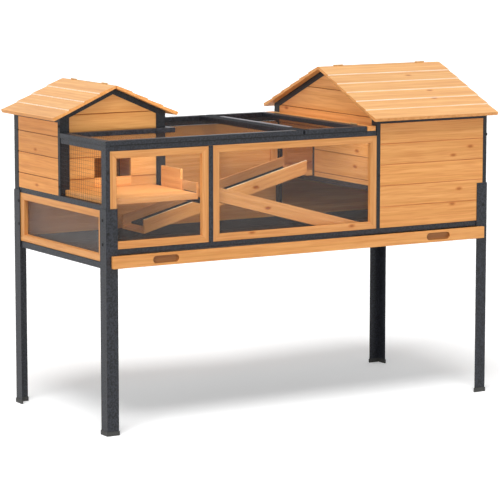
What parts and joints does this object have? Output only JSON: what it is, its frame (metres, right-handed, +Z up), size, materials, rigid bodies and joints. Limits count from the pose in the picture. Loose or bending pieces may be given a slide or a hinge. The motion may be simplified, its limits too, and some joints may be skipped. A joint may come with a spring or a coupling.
{
  "type": "tortoise house",
  "caption": "Raised two-storey tortoise house: steel frame on legs, pine boards, clear windows, mesh, two gabled houses with opening roofs, ramps and a pull-out tray.",
  "frame": {"origin": "on the floor, under the middle of the outline that the roofs' edges make", "axes": "+X along the length, from the left house to the right house; +Y from the front windows to the back wall; +Z up"},
  "size_m": [1.4542, 0.6802, 1.0685],
  "materials": {
    "pine": "planed softwood with a clear coat",
    "steel": "hammered dark powder coat",
    "plastic": "matte moulded",
    "acrylic": "clear sheet",
    "hinge_steel": "brass plated",
    "wire": "black coated welded wire",
    "pan_plastic": "plain moulded"
  },
  "bodies": {
    "house": {"front_left_leg": "steel", "front_right_leg": "steel", "rear_left_leg": "steel", "rear_right_leg": "steel", "front_left_foot_cap": "plastic", "front_right_foot_cap": "plastic", "rear_left_foot_cap": "plastic", "rear_right_foot_cap": "plastic", "front_left_post": "steel", "left_house_front_frame": "steel", "left_house_rear_frame": "steel", "right_house_inner_frame": "steel", "right_house_outer_frame": "steel", "base_frame": "steel", "base_rail_front": "steel", "mid_rail_left": "steel", "mid_rail_cross": "steel", "right_house_floor_rail": "steel", "top_rail_front": "steel", "top_rail_rear": "steel", "top_cross_bar": "steel", "roof_mesh_frame": "steel", "roof_mesh_front": "wire", "roof_mesh_rear": "wire", "end_mesh": "wire", "lid_batten": "pine", "left_house_outer_wall": "pine", "left_house_inner_wall": "pine", "left_house_front_wall": "pine", "left_house_back_wall": "pine", "upper_floor": "pine", "balcony_fence": "pine", "right_house_front_wall": "pine", "right_house_back_wall": "pine", "right_house_outer_wall": "pine", "right_house_inner_wall": "pine", "right_house_floor": "pine", "run_back_wall": "pine", "left_roof_fixed_slope": "pine", "right_roof_fixed_slope": "pine", "front_left_window_frame": "pine", "front_right_window_frame": "pine", "end_window_frame": "pine", "front_left_window_pane": "acrylic", "front_right_window_pane": "acrylic", "end_window_pane": "acrylic", "front_ramp": "pine", "rear_ramp": "pine", "left_roof_hinge_fixed_half": "hinge_steel", "right_roof_hinge_fixed_half": "hinge_steel", "lid_hinge_fixed_half": "hinge_steel"},
    "left_roof": {"left_roof_opening_slope": "pine", "left_roof_hinge_moving_half": "hinge_steel"},
    "right_roof": {"right_roof_opening_slope": "pine", "right_roof_hinge_moving_half": "hinge_steel"},
    "mesh_lid": {"mesh_lid_frame": "steel", "mesh_lid_net": "wire", "lid_hinge_moving_half": "hinge_steel"},
    "tray": {"tray_front": "pine", "tray_pan": "pan_plastic"}
  },
  "joints": [
    {"name": "left_roof_hinge", "type": "hinge", "parent": "house", "child": "left_roof", "pos_m": [-0.50727, 0.15085, 1.03771], "axis": [0, 1, 0], "range_deg": [0, 100]},
    {"name": "right_roof_hinge", "type": "hinge", "parent": "house", "child": "right_roof", "pos_m": [0.48878, 0, 1.06658], "axis": [-1, 0, 0], "range_deg": [0, 100]},
    {"name": "mesh_lid_hinge", "type": "hinge", "parent": "house", "child": "mesh_lid", "pos_m": [0.23958, 0, 0.8977], "axis": [0, 1, 0], "range_deg": [0, 88]},
    {"name": "tray_slide", "type": "slide", "parent": "house", "child": "tray", "axis": [0, -1, 0], "range_m": [0, 0.5]}
  ]
}
